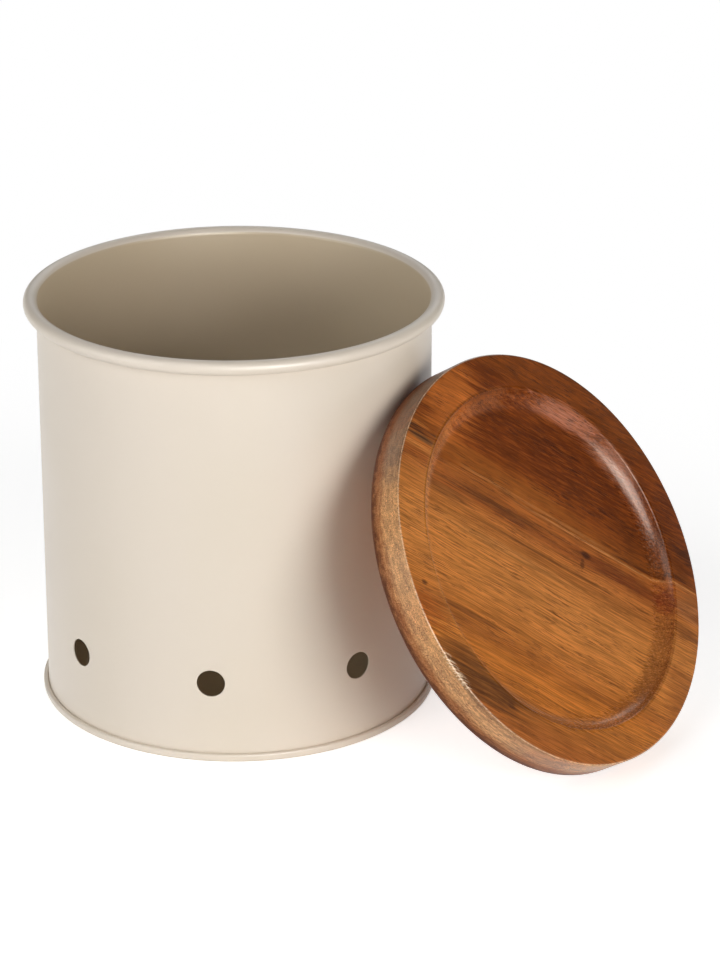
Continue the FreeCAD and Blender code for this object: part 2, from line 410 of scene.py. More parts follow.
    def mix(self, factor: Number, first: object, second: object) -> Socket:
        """Colour between two colours, by a factor from 0 to 1."""
        node = self.put("ShaderNodeMix", data_type="RGBA")
        under, over = (at for at, socket in enumerate(node.inputs) if socket.type == "RGBA")
        self.feed(node, {"Factor": factor, under: first, over: second})
        return next(socket for socket in node.outputs if socket.type == "RGBA")

    def ramp(self, value: Socket, stops: tuple[tuple[float, Tone], ...]) -> Socket:
        """Colour read from a row of tones.

        Args:
            value: Value to look up.
            stops: Values and the tones there, from low to high.

        Returns:
            The colour.
        """
        low, high = stops[0][0], stops[-1][0]
        share = self.put("ShaderNodeMapRange", dict(enumerate((value, low, high, 0.0, 1.0))))
        node = self.put("ShaderNodeValToRGB", {"Fac": share.outputs["Result"]})
        places = node.color_ramp.elements
        while len(places) < len(stops):
            places.new(0.5)
        for element, (at, colour) in zip(places, stops):
            element.position = (at - low) / (high - low)
            element.color = (*colour, 1.0)
        return node.outputs["Color"]

    def bump(self, height: Socket, depth: float, strength: float) -> None:
        """Raise the surface by a height from 0 to 1 over a depth in metres."""
        node = self.put("ShaderNodeBump", {"Strength": strength, "Distance": depth, "Height": height})
        self.feed(self.surface, {"Normal": node.outputs["Normal"]})


@dataclass(frozen=True)
class PaintFinish:
    """Satin cream coat on steel, with a sprayed finish's faint orange peel, and a darker, warmer tone
    inside, which is painted shade.
    """

    colour: Tone = tone(227, 216, 202)
    warm: Tone = tone(225, 214, 198)
    # painted shade: a darker, warmer tone for the faces inside the wall, the wall's inner face and the pan
    inside: Tone = tone(208, 191, 164)
    inside_radius: float = 62.7 * MM
    inside_fade: float = 0.1 * MM
    cloud: Figure = Figure((14.0, 14.0, 9.0), 3.0, 0.35, 0.65)
    gloss_roughness: Figure = Figure((40.0, 40.0, 25.0), 4.0, 0.3, 0.7, 0.33, 0.40, 0.6)
    peel_cells: float = 900.0
    peel_depth: float = 0.012 * MM
    peel_strength: float = 0.5

    def material(self) -> bpy.types.Material:
        """Make the paint.

        Returns:
            The material.
        """
        graph = Graph("cream_paint")
        place = graph.place()
        outside = graph.window(graph.from_axis(place), self.inside_radius - self.inside_fade,
                               self.inside_radius + self.inside_fade)
        coat = graph.mix(graph.figure(place, self.cloud), self.colour, self.warm)
        peel = graph.noise(place, (self.peel_cells,) * 3, 1.0)
        graph.bump(peel, self.peel_depth, self.peel_strength)
        # painted shade tone inside, cream coat outside
        return graph.dress({"Base Color": graph.mix(outside, self.inside, coat),
                            "Roughness": graph.figure(place, self.gloss_roughness)})


@dataclass(frozen=True)
class SiliconeFinish:
    """Milky translucent silicone."""

    colour: Tone = tone(226, 226, 220)
    hazy: Tone = tone(214, 214, 208)
    haze: Figure = Figure((120.0, 120.0, 120.0), 3.0, 0.3, 0.7)
    roughness: float = 0.5
    clearness: float = 0.3
    light_reach: float = 2.0 * MM
    matt_cells: float = 700.0
    matt_depth: float = 0.01 * MM
    matt_strength: float = 0.4

    def material(self) -> bpy.types.Material:
        """Make the silicone.

        Returns:
            The material.
        """
        graph = Graph("milky_silicone")
        place = graph.place()
        matt = graph.noise(place, (self.matt_cells,) * 3, 2.0)
        graph.bump(matt, self.matt_depth, self.matt_strength)
        return graph.dress({"Base Color": graph.mix(graph.figure(place, self.haze), self.colour, self.hazy),
                            "Roughness": self.roughness,
                            "Subsurface Weight": self.clearness,
                            "Subsurface Radius": (self.light_reach,) * 3})


@dataclass(frozen=True)
class LidPlace:
    """Where the lid lies: the middle of its back, and the directions of its grain, side and face."""

    middle: np.ndarray
    grain: np.ndarray
    side: np.ndarray
    face: np.ndarray

    @classmethod
    def read(cls, gasket_depth: float, grain_turn: float) -> "LidPlace":
        """Read the lid's place from the frame.

        Its face looks along the lid's joint. Its middle is the gasket's middle, less the gasket's
        depth behind the lid's back. The grain is the level direction across the face, turned in it.

        Args:
            gasket_depth: Depth of the gasket's middle behind the lid's back.
            grain_turn: Angle in degrees from level, across the face, to the grain.

        Returns:
            The place.
        """
        face = np.array(frame["joints"][0]["axis"], dtype=float)
        face /= np.linalg.norm(face)
        low, high = (np.array(corner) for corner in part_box("lid_gasket"))
        level = np.array([-face[1], face[0], 0.0])
        level /= np.linalg.norm(level)
        uphill = np.cross(face, level)
        turn = math.radians(grain_turn)
        grain = level * math.cos(turn) + uphill * math.sin(turn)
        return cls((low + high) / 2 + face * gasket_depth, grain, np.cross(face, grain), face)

    def put(self, points: np.ndarray) -> np.ndarray:
        """Frame's places of points of the lid: middle + x grain + y side + z face."""
        return self.middle + points @ np.stack([self.grain, self.side, self.face])

    def millimetres(self, graph: Graph) -> Socket:
        """Point of the lid that is shaded, in millimetres along its grain, side and face.

        Args:
            graph: Node tree that the nodes go into.

        Returns:
            Socket of the point.
        """
        turn = Matrix(np.stack([self.grain, self.side, self.face]).tolist())
        sockets = {"Vector": graph.place(), "Scale": (1 / MM,) * 3, "Rotation": turn.to_euler("XYZ"),
                   "Location": -(turn @ Vector(self.middle)) / MM}
        return graph.put("ShaderNodeMapping", sockets, vector_type="POINT").outputs["Vector"]


class BoardGraph(Graph):
    """Node tree of a board's finish, with sockets for the point of the lid that is shaded.

    They are the point itself, x along the grain, y across it, the depth over the lid's back, the
    radius from the lid's axis, and bent, the point moved by the grain's wander. All in millimetres.
    """

    wander: Swing = ((0.010, 0.03, 0.03), 2.0, 5.0)
    ripple: Swing = ((0.05, 0.12, 0.1), 2.0, 1.0)
    slant: float = 0.3

    def __init__(self, name: str, lid: LidPlace, start: float) -> None:
        """Start a board's material.

        Args:
            name: Name of the material.
            lid: Where the lid lies.
            start: Where the board's figure starts along the grain.
        """
        super().__init__(name)
        self.point = lid.millimetres(self)
        self.x, self.y, self.depth = self.split(self.point)
        self.radius = self.from_axis(self.point)
        self.bent = self.bent_grain(start)

    def bent_grain(self, start: float) -> Socket:
        """Point moved across the grain by a slow wander, and with depth, as growth layers lie aslant."""
        seeded = self.vector("ADD", self.point, (start, start, 0.0))
        wander = self.swing(seeded, *self.wander)
        ripple = self.swing(seeded, *self.ripple)
        drift = self.plus(self.plus(wander, ripple), self.times(self.depth, self.slant))
        shift = self.put("ShaderNodeCombineXYZ", {"X": start, "Y": drift})
        return self.vector("ADD", self.point, shift.outputs[0])


@dataclass(frozen=True)
class Patch:
    """A streak, knot or cloud of another tone, lying along the grain, or a patch of painted light.
    Millimetres on the lid's face.

    A shallow one lies in the wood near the face, so the recess is cut below it.
    """

    x: float
    y: float
    reach: float
    width: float
    colour: Tone
    strength: float
    shallow: bool = False


@dataclass(frozen=True)
class WoodFinish:
    """Oiled acacia board: tones across the grain, streaks, pores, mottle and its turned edge.

    Lengths are in millimetres on the lid. The edge's patches show only on the turned edge, and the
    cove's only in the cove, where most are painted light: lit tan on the left and a pinkish painted
    highlight at the top. A step holds where it starts and ends, and its level at both.
    """

    name: str
    tones: tuple[tuple[float, Tone], ...]
    patches: tuple[Patch, ...]
    painted_cove_light_and_tones: tuple[Patch, ...]
    edge_light_tone: Tone
    edge_marks_and_reflection: tuple[Patch, ...]
    pore_tone: Tone
    mottle_tone: Tone
    mottle_strength: float
    ripple_strength: float
    grain_strength: float
    start: float
    frayed: Patch | None = None
    # darker and redder towards the back: the wood's brown with painted shade; the redder tone also colours
    # end-grain specks
    back_shade_tone: Tone = tone(78, 40, 26)
    speck_and_shade_tone: Tone = tone(142, 82, 50)
    # painted highlight along the arris
    arris_highlight_tone: Tone = tone(232, 196, 160)
    lid_radius: float = 67.7
    lip_radius: float = 56.0
    lid_thickness: float = 13.2
    shallow_depth: float = 2.0
    shallow_fade: float = 1.0
    patch_fade: Span = (1.2, 0.4)
    patch_ragging: Swing = ((0.04, 0.9, 0.5), 4.0, 2.0)
    edge_ragging: Swing = ((0.2, 0.2, 0.1), 3.0, 1.6)
    edge_margin: Span = (0.55, 0.25)
    cove_ring: tuple[Span, Span] = ((-6.5, -3.5), (0.6, 1.3))
    # ring of the painted shade along the recess's lip
    shaded_lip_ring: tuple[Span, Span] = ((-0.6, 0.0), (0.5, 1.0))
    frayed_reach: tuple[Span, Span] = ((2.6, 0.5), (1.6, 0.4))
    arris_highlight_reach: tuple[Span, Span] = ((0.45, 0.2), (0.5, 0.25))
    pore_strength: float = 0.65
    edge_strength: float = 0.65
    edge_layer_reach: float = 5.0
    relief: float = 0.03 * MM
    relief_strength: float = 0.6
    gloss_level: float = 0.45
    gloss_tint: Tone = (1.0, 0.88, 0.78)
    roughness: Step = (0.25, 0.75, 0.28, 0.40)
    cove_burnish: Step = (-25.0, 10.0, 0.0, 0.11)
    cove_dullness: Step = (0.0, -25.0, 0.0, 0.3825)
    back_dullness: Step = (8.0, 4.0, 0.0, 0.36)
    # painted shade along the lip: strongest at the left and at the top
    shade_fade_left: Step = (-15.0, -40.0, 0.0, 0.45)
    shade_fade_top: Step = (-30.0, 10.0, 0.1, 1.0)
    reddish_shade_band: Step = (10.0, 6.0, 0.0, 0.75)
    back_shade_band: Step = (6.5, 4.0, 0.0, 0.85)
    fibre: Figure = Figure((0.07, 2.5, 2.5), 1.0, 0.34, 0.66, -0.20, 0.18)
    dashes: Figure = Figure((0.20, 3.1, 3.1), 1.0, 0.57, 0.65)
    dash_crowd: Figure = Figure((0.02, 0.22, 0.2), 2.0, 0.35, 0.62, 0.25, 1.0)
    bands: Figure = Figure((0.006, 0.17, 0.08), 3.0, 0.3, 0.7, -0.10, 0.10)
    lines: Figure = Figure((0.05, 2.5, 1.2), 3.0, 0.46, 0.60, 0.08, -0.26, 0.6)
    ripple: Figure = Figure((0.16, 0.03, 0.03), 1.0, 0.3, 0.7, -1.0, 1.0)
    mottle: Figure = Figure((0.13, 1.7, 1.7), 3.0, 0.44, 0.64, roughness=0.65)
    edge_layers: Figure = Figure((0.03, 0.30, 0.75), 4.0, 0.40, 0.60, -0.24, 0.12, 0.6)
    tool_marks: Figure = Figure((0.3, 0.05, 1.3), 3.0, 0.40, 0.60, -0.10, 0.06, 0.6)
    specks: Figure = Figure((1.3, 2.2, 2.2), 2.0, 0.52, 0.64, roughness=0.6)
    speck_crowd: Figure = Figure((0.09, 0.09, 0.3), 2.0, 0.40, 0.62, 0.10, 0.65)
    hairs: Figure = Figure((0.3, 3.0, 0.8), 2.0, 0.50, 0.58, roughness=0.7)
    arris_highlight_breaks: Figure = Figure((1.4, 0.5, 0.5), 3.0, 0.36, 0.58, 0.15, 0.75, 0.7)

    def material(self, lid: LidPlace) -> bpy.types.Material:
        """Make the board's material.

        Args:
            lid: Where the lid lies.

        Returns:
            The material.
        """
        graph = BoardGraph(self.name, lid, self.start)
        fibre = graph.noise(graph.bent, self.fibre.stretch, self.fibre.detail)
        pores = graph.crowded(graph.bent, self.dashes, self.dash_crowd)
        colour = self.turned_edge(graph, self.board_tones(graph))
        colour = graph.shaded(colour, graph.bent, self.fibre, self.grain_strength)
        cove = self.in_cove(graph)
        dull = graph.math("MAXIMUM", graph.times(cove, graph.window(graph.x, *self.cove_dullness)),
                          graph.times(self.on_edge(graph), graph.window(graph.depth, *self.back_dullness)))
        burnished = graph.times(cove, graph.window(graph.x, *self.cove_burnish))
        graph.bump(graph.minus(fibre, pores), self.relief, self.relief_strength)
        return graph.dress({
            "Base Color": graph.mix(graph.times(pores, self.pore_strength), colour, self.pore_tone),
            "Specular IOR Level": graph.minus(self.gloss_level, dull),
            "Specular Tint": self.gloss_tint,
            "Roughness": graph.minus(graph.window(fibre, *self.roughness), burnished)})

    def laid_over(self, graph: BoardGraph, ragged: Socket, colour: Socket, patches: tuple[Patch, ...],
                  *shown: Socket) -> Socket:
        """Colour with patches laid over it, each fading out towards its ragged outline.

        Args:
            graph: Node tree.
            ragged: Number that moves the patches' outlines in and out.
            colour: Colour underneath.
            patches: Patches to lay over.
            shown: Shares from 0 to 1 that they are weakened by.

        Returns:
            Socket of the colour.
        """
        top = self.lid_thickness - self.shallow_depth
        near_face = graph.window(graph.depth, top, top + self.shallow_fade)
        for patch in patches:
            shares = (*shown, near_face) if patch.shallow else shown
            cover = graph.times(self.cover(graph, ragged, patch), *shares)
            colour = graph.mix(cover, colour, patch.colour)
        return colour

    def cover(self, graph: BoardGraph, ragged: Socket, patch: Patch) -> Socket:
        """How much a patch covers a point: full near its middle, none past its ragged outline."""
        away = graph.vector("SUBTRACT", graph.point, (patch.x, patch.y, 0.0))
        share = graph.vector("MULTIPLY", away, (1 / patch.reach, 1 / patch.width, 0.0))
        return graph.window(graph.plus(graph.length(share), ragged), *self.patch_fade, 0.0, patch.strength)

    def board_tones(self, graph: BoardGraph) -> Socket:
        """Tones across the board, with its patches, painted light in the cove, painted lip shade, growth
        bands, dark lines, ripple and mottle.
        """
        ragged = graph.swing(graph.bent, *self.patch_ragging)
        colour = graph.ramp(graph.split(graph.bent)[1], self.tones)
        colour = self.laid_over(graph, ragged, colour, self.patches)
        # painted light and painted highlight in the cove, and darker tones on its right
        colour = self.laid_over(graph, ragged, colour, self.painted_cove_light_and_tones, self.in_cove(graph))
        # painted shade along the recess's lip on its upper left
        colour = graph.scaled(colour, self.painted_lip_shade(graph))
        colour = graph.shaded(colour, graph.bent, self.bands)
        colour = graph.shaded(colour, graph.bent, self.lines, self.grain_strength)
        colour = graph.shaded(colour, graph.point, self.ripple, self.ripple_strength)
        mottled = graph.times(graph.figure(graph.bent, self.mottle), self.mottle_strength)
        return graph.mix(mottled, colour, self.mottle_tone)

    def on_edge(self, graph: BoardGraph) -> Socket:
        """1 on the turned edge of the lid and 0 elsewhere."""
        return graph.window(graph.radius, *(self.lid_radius - inwards for inwards in self.edge_margin))

    def round_lip(self, graph: BoardGraph, rise: Span, fall: Span) -> Socket:
        """1 in a ring between a smooth rise and a smooth fall, both measured outwards from the lip."""
        rise, fall = (tuple(self.lip_radius + away for away in span) for span in (rise, fall))
        return graph.between(graph.radius, rise, fall)

    def in_cove(self, graph: BoardGraph) -> Socket:
        """1 in the cove round the recess and 0 elsewhere."""
        return self.round_lip(graph, *self.cove_ring)

    def near_arris(self, graph: BoardGraph, inwards: Span, below: Span) -> Socket:
        """1 near the arris, and 0 far inwards or below it. Each pair says where it is 0 and where 1."""
        steps = ((graph.radius, self.lid_radius, inwards), (graph.depth, self.lid_thickness, below))
        return graph.times(*(graph.window(value, edge - gone, edge - full)
                             for value, edge, (gone, full) in steps))

    def painted_lip_shade(self, graph: BoardGraph) -> Socket:
        """Less than 1 along the recess's lip on its upper left, which is painted shade, and 1 elsewhere."""
        on_lip = self.round_lip(graph, *self.shaded_lip_ring)
        left = graph.window(graph.x, *self.shade_fade_left)
        return graph.minus(1.0, graph.times(on_lip, left, graph.window(graph.y, *self.shade_fade_top)))

    def turned_edge(self, graph: BoardGraph, colour: Socket) -> Socket:
        """Edge of the lid: paler wood with end-grain specks and painted light, greyish painted reflection
        of the canister, a dark back that is partly painted shade, and a thin, broken painted highlight
        along the arris.

        Args:
            graph: Node tree.
            colour: Colour of the board.

        Returns:
            Socket of the colour.
        """
        ragged = graph.swing(graph.point, *self.edge_ragging)
        # paler end grain with painted light on the turned edge
        pale = graph.mix(self.edge_strength, colour, self.edge_light_tone)
        pale = self.laid_over(graph, ragged, pale, self.edge_marks_and_reflection)
        pale = graph.shaded(pale, graph.bent, self.edge_layers)
        pale = graph.shaded(pale, graph.point, self.tool_marks)
        layers = self.edge_layers
        reach = graph.times(graph.noise(graph.bent, layers.stretch, layers.detail, layers.roughness),
                            self.edge_layer_reach)
        rough_depth = graph.plus(graph.depth, reach)
        # painted shade with the wood's brown, redder and darker towards the lid's back
        pale = graph.mix(graph.window(rough_depth, *self.reddish_shade_band), pale, self.speck_and_shade_tone)
        specks = graph.crowded(graph.point, self.specks, self.speck_crowd)
        pale = graph.mix(specks, pale, self.speck_and_shade_tone)
        # darkest band at the back: painted shade and brown wood
        pale = graph.mix(graph.window(rough_depth, *self.back_shade_band), pale, self.back_shade_tone)
        colour = graph.mix(self.on_edge(graph), colour, pale)
        if self.frayed:
            spot = graph.times(self.near_arris(graph, *self.frayed_reach),
                               self.cover(graph, ragged, self.frayed))
            hairs = graph.times(graph.figure(graph.point, self.hairs), spot)
            colour = graph.mix(hairs, colour, self.frayed.colour)
        # painted highlight along the arris, broken up by noise
        arris = graph.times(self.near_arris(graph, *self.arris_highlight_reach),
                            graph.figure(graph.point, self.arris_highlight_breaks))
        return graph.mix(arris, colour, self.arris_highlight_tone)


GOLDEN_BOARD = WoodFinish(
    name="golden_acacia",
    tones=(
        (-72, tone(160, 90, 38)), (-58, tone(166, 94, 40)), (-50, tone(182, 108, 44)),
        (-40, tone(196, 118, 48)), (-33, tone(176, 102, 42)), (-29, tone(192, 116, 50)),
        (-16, tone(200, 126, 60)), (-6, tone(202, 128, 62)), (-2, tone(196, 122, 58)),
        (2, tone(170, 102, 46)), (6, tone(184, 110, 50)), (10, tone(146, 78, 32)),
        (16, tone(178, 100, 42)), (20, tone(160, 90, 38))),
    patches=(
        Patch(-46, -8, 26, 18, tone(232, 146, 68), 0.35),
        Patch(-43, 5.5, 13, 3.0, tone(92, 52, 24), 0.6),
        Patch(-24, 10.0, 24, 2.2, tone(104, 56, 24), 0.8),
        Patch(34, 10.5, 24, 3.2, tone(116, 52, 20), 0.7),
        Patch(6, 2.2, 44, 0.6, tone(92, 50, 22), 0.7),
        Patch(-20, -3.4, 34, 2.2, tone(206, 140, 76), 0.35),
        Patch(-28, -31.5, 20, 1.2, tone(104, 56, 24), 0.75),
        Patch(61, 9, 8, 5, tone(176, 116, 70), 0.5, True),
        Patch(6, -43, 40, 9, tone(204, 118, 42), 0.4),
        Patch(-35, -50, 13, 5.5, tone(108, 62, 28), 0.65, True),
        Patch(-22, -56, 20, 6.5, tone(84, 48, 22), 0.8, True),
        Patch(-53, -42, 10, 7, tone(168, 80, 26), 0.55),
        Patch(-62, 11.5, 8, 1.4, tone(212, 146, 78), 0.25),
        Patch(-59, 14.6, 7, 1.3, tone(116, 84, 52), 0.7, True),
        Patch(-61, 14.8, 10, 0.6, tone(48, 28, 18), 0.9, True),
        Patch(24, 15.5, 42, 0.55, tone(200, 134, 76), 0.75),
        Patch(61, 0, 8, 3.0, tone(104, 56, 26), 0.5, True),
        Patch(61, -25, 8, 17, tone(142, 76, 32), 0.5, True),
        Patch(18.6, 10.7, 2.4, 1.7, tone(58, 26, 12), 0.85),
        Patch(17.4, 7.4, 1.0, 3.0, tone(76, 36, 16), 0.7),
        Patch(-53, -33, 1.5, 1.0, tone(74, 34, 16), 0.8),
        Patch(-13, -58, 2.0, 1.2, tone(66, 30, 14), 0.8)),
    # painted light in the cove: lit tan on the left; the right is darker
    painted_cove_light_and_tones=(
        Patch(50, -18, 12, 34, tone(92, 46, 26), 0.42),
        Patch(52, 9, 6, 6, tone(124, 50, 22), 0.6),
        Patch(-54, 5, 6, 20, tone(204, 134, 74), 0.65),
        Patch(-44, -32, 20, 26, tone(200, 136, 80), 0.5)),
    # paler end grain and painted light on the turned edge
    edge_light_tone=tone(218, 170, 116),
    edge_marks_and_reflection=(
        # greyish painted reflection of the canister on the edge's upper left
        Patch(-65, 12, 14, 17, tone(124, 94, 70), 0.85),
        Patch(-26, -61, 16, 10, tone(112, 74, 48), 0.6, True),
        Patch(8, -67, 16, 10, tone(176, 108, 66), 0.5)),
    frayed=Patch(-37, -56, 9, 7, tone(240, 214, 180), 1.0),
    pore_tone=tone(92, 46, 18), mottle_tone=tone(210, 138, 70), mottle_strength=0.14, ripple_strength=0.03,
    grain_strength=1.0, start=0.0)

DARK_BOARD = WoodFinish(
    name="dark_acacia",
    tones=(
        (14, tone(150, 82, 28)), (20, tone(150, 82, 28)), (26, tone(130, 64, 18)),
        (32, tone(112, 51, 10)), (44, tone(106, 46, 7)), (54, tone(112, 51, 10)),
        (60, tone(124, 62, 16)), (72, tone(114, 56, 14))),
    patches=(
        Patch(-22, 21, 38, 5, tone(176, 104, 42), 0.5),
        Patch(48, 25, 22, 9, tone(76, 34, 8), 0.6),
        Patch(-50, 36, 16, 14, tone(206, 116, 48), 0.8),
        Patch(-62, 19.2, 7, 1.2, tone(196, 120, 56), 0.6, True),
        Patch(-61, 17.6, 10, 0.7, tone(40, 26, 18), 0.95, True),
        Patch(-62, 16.4, 9, 0.45, tone(52, 32, 20), 0.95, True),
        Patch(-5, 17.2, 46, 0.8, tone(196, 130, 72), 0.5),
        Patch(48, 17.3, 18, 1.2, tone(78, 36, 10), 0.8),
        Patch(58, 27, 5, 3.5, tone(60, 28, 12), 0.6),
        Patch(12, 38, 34, 12, tone(92, 38, 6), 0.35),
        Patch(0, 61, 40, 6, tone(132, 68, 26), 0.4)),
    # painted light in the cove: a pinkish painted highlight at the top and lit tan on the left
    painted_cove_light_and_tones=(
        Patch(2, 54, 15, 4, tone(208, 134, 104), 0.55),
        Patch(26, 48, 16, 6, tone(188, 130, 104), 0.4),
        Patch(-50, 24, 7, 12, tone(192, 122, 64), 0.6),
        Patch(-36, 43, 18, 12, tone(160, 98, 60), 0.55)),
    # greyish painted reflection of the canister on this board's edge
    edge_light_tone=tone(130, 100, 76),
    edge_marks_and_reflection=(
        # greyish painted reflection of the canister
        Patch(-58, 34, 14, 14, tone(112, 90, 70), 0.6),),
    pore_tone=tone(44, 18, 6), mottle_tone=tone(176, 92, 32), mottle_strength=0.42, ripple_strength=0.08,
    grain_strength=0.6, start=37.0)


# Pieces


@dataclass
class Canister:
    """Rolled sheet wall with its rim, vents and side seam, and the pan seamed to its foot."""

    sheet: float = 0.5 * MM
    bead_diameter: float = 4.6 * MM
    curl_end_gap: float = 0.3 * MM
    vent_diameter: float = 9.0 * MM
    vent_count: int = 8
    vent_height: float = 26.7 * MM
    vent_bearing: float = -90.0
    vent_ease: float = 0.12 * MM
    seam_height: float = 2.7 * MM
    seam_play: float = 0.06 * MM
    hook_end_play: float = 0.15 * MM
    fold_radius: float = 0.06 * MM
    panel_rise: float = 4.0 * MM
    panel_corner_radius: float = 0.8 * MM
    panel_ring_inset: float = 10.0 * MM
    panel_ring_step: float = 1.0 * MM
    panel_ring_bend: float = 0.8 * MM
    panel_ring_slope: float = 40.0
    side_seam_bearing: float = 112.5
    side_seam_width: float = 4.0 * MM
    side_seam_rise: float = 0.35 * MM
    side_seam_end_gap: float = 1.5 * MM
    columns_per_vent: int = 37
    cells_per_vent: int = 12
    vent_blend: tuple[float, ...] = (1.0, 0.62, 0.3, 0.1)
    fold_steps: int = 4
    foot_steps: int = 5
    wall_steps: int = 10
    curl_steps: int = 30
    side_seam_steps: int = 11
    crease: float = 40.0
    side_seam_crease: float = 50.0
    finish: PaintFinish = field(default_factory=PaintFinish)

    def __post_init__(self) -> None:
        """Take the rim's radius and height from the frame, and work out what follows from them."""
        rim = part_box("canister_wall")[1]
        self.columns = self.columns_per_vent * self.vent_count
        self.inner = rim.x - self.bead_diameter
        self.outer = self.inner + self.sheet
        self.bead_height = rim.z - self.bead_diameter / 2
        self.cell = 2 * math.pi * self.outer / self.columns
        self.vent_reach = self.cell * self.cells_per_vent / 2

    def wall_path(self) -> SheetPath:
        """Wall's middle line: hook in the foot's seam, straight wall, and curl of the rim."""
        cover_hook = self.outer + self.seam_play + self.sheet / 2
        body_hook = cover_hook + self.sheet + self.seam_play
        fold_centre = 2 * self.sheet + self.seam_play + self.fold_radius
        hook_top = self.seam_height - self.sheet - self.hook_end_play
        bead = self.bead_diameter / 2
        curl_end = math.degrees(math.acos((bead - self.sheet - self.curl_end_gap) / bead))
        fold = (-90, self.fold_radius, self.fold_steps)
        foot = body_hook - self.outer + self.sheet / 2 - 2 * (self.fold_radius + self.sheet / 2)
        return SheetPath(self.sheet, (body_hook, hook_top), -90).follow(
            (hook_top - fold_centre, 1), fold, (foot, 1), fold,
            (self.vent_height - self.vent_reach - fold_centre, 2),
            (2 * self.vent_reach, self.cells_per_vent),
            (self.bead_height - self.vent_height - self.vent_reach, self.wall_steps),
            (curl_end - 360, bead - self.sheet, self.curl_steps))

    def pan_path(self) -> SheetPath:
        """Pan's middle line: cover hook, seaming wall, chuck wall, panel and its pressed ring."""
        half = self.sheet / 2
        cover_hook = self.outer + self.seam_play + half
        seaming_wall = cover_hook + 2 * (self.sheet + self.seam_play)
        chuck_wall = self.inner - self.seam_play - half
        foot_fold = self.fold_radius + self.sheet + self.seam_play
        hook_bottom = 2 * self.sheet + self.seam_play + self.hook_end_play
        fold_top = self.seam_height - self.sheet - self.fold_radius
        fold_foot = self.sheet + foot_fold
        corner = self.panel_corner_radius + half
        fold = (-90, self.fold_radius, self.fold_steps)
        wide_fold = (-90, foot_fold, self.foot_steps)
        return SheetPath(self.sheet, (cover_hook, hook_bottom), 90).follow(
            (fold_top - hook_bottom, 1), fold,
            (seaming_wall - cover_hook - 2 * (self.fold_radius + half), 1), fold,
            (fold_top - fold_foot, 1), wide_fold,
            (seaming_wall - chuck_wall - 2 * (foot_fold + half), 1), wide_fold,
            (self.panel_rise + half - corner - fold_foot, 1),
            (90, self.panel_corner_radius, self.foot_steps), *self.panel_ring(chuck_wall - corner))

    def panel_ring(self, start_radius: float) -> tuple[tuple[float, ...], ...]:
        """Runs and bends that carry the panel from its edge over its pressed step to the middle.

        Args:
            start_radius: Radius of the panel's edge.

        Returns:
            The moves.
        """
        slope = math.radians(self.panel_ring_slope)
        middle = self.panel_ring_bend + self.sheet / 2
        slant = (self.panel_ring_step - 2 * middle * (1 - math.cos(slope))) / math.sin(slope)
        width = 2 * middle * math.sin(slope) + slant * math.cos(slope)
        bend = (self.panel_ring_bend, self.fold_steps)
        return ((self.panel_ring_inset, 1), (self.panel_ring_slope, *bend), (slant, 1),
                (-self.panel_ring_slope, *bend), (start_radius - self.panel_ring_inset - width, 3))

    def vent_bearings(self) -> np.ndarray:
        """Bearings of the vents, in radians from +X."""
        return np.radians(self.vent_bearing + np.arange(self.vent_count) * 360 / self.vent_count)

    def away_from_vents(self, vertices: np.ndarray, quads: np.ndarray) -> np.ndarray:
        """Quads of the wall that lie outside the square that each vent's rings will fill.

        A quad is dropped where its middle is within the square's reach of a vent, both round the
        wall and in height, and no further out than the wall.

        Args:
            vertices: Points of the wall.
            quads: All its quads.

        Returns:
            The quads that are kept.
        """
        middle = vertices[quads].mean(axis=1)
        bearing = np.arctan2(middle[:, 1], middle[:, 0])
        turn = bearing[:, None] - self.vent_bearings()[None, :]
        aside = np.abs((turn + np.pi) % (2 * np.pi) - np.pi).min(axis=1) * self.outer
        near = (aside < self.vent_reach) & (np.abs(middle[:, 2] - self.vent_height) < self.vent_reach)
        return quads[~near]

    def vent_rings(self) -> tuple[np.ndarray, np.ndarray]:
        """Rings of points from a square on the outer face, through each vent, to one on the inner face.

        Ring k blends the square's outline into the vent's circle, and a point (s, h) at depth d goes
        to the turn s / outer radius, the height h and the radius outer - d.

        Returns:
            Vertices and quads of all the vents.
        """
        side = np.linspace(-1, 1, self.cells_per_vent + 1)[:-1]
        one = np.ones_like(side)
        outline = ((side, -one), (one, side), (-side, one), (-one, -side))
        square = self.vent_reach * np.vstack([np.column_stack(edge) for edge in outline])
        count = len(square)
        turn = np.radians(-135 + np.arange(count) * 360 / count)
        circle = np.column_stack([np.cos(turn), np.sin(turn)])
        quarter = np.radians([0, 30, 60, 90])
        ease = self.vent_ease * (1 - np.sin(quarter))
        blends = len(self.vent_blend)
        share = np.concatenate([self.vent_blend, np.zeros(len(quarter))])
        grow = np.concatenate([np.full(blends, ease[0]), ease])
        depth = np.concatenate([np.zeros(blends), self.vent_ease * (1 - np.cos(quarter))])
        share, grow = (np.concatenate([part, part[::-1]]) for part in (share, grow))
        depth = np.concatenate([depth, (self.sheet - depth)[::-1]])
        radius = (self.vent_diameter / 2 + grow) * (1 - share)
        flat = square[None] * share[:, None, None] + circle[None] * radius[:, None, None]
        bearing = self.vent_bearings()[:, None, None] + flat[None, :, :, 0] / self.outer
        points = round_axis((self.outer - depth)[None, :, None], bearing,
                            self.vent_height + flat[None, :, :, 1])
        one_vent = ring_quads(count, len(depth), closed_rows=False, by_row=True)
        starts = np.arange(self.vent_count) * len(depth) * count
        return points.reshape(-1, 3), (one_vent + starts[:, None, None]).reshape(-1, 4)

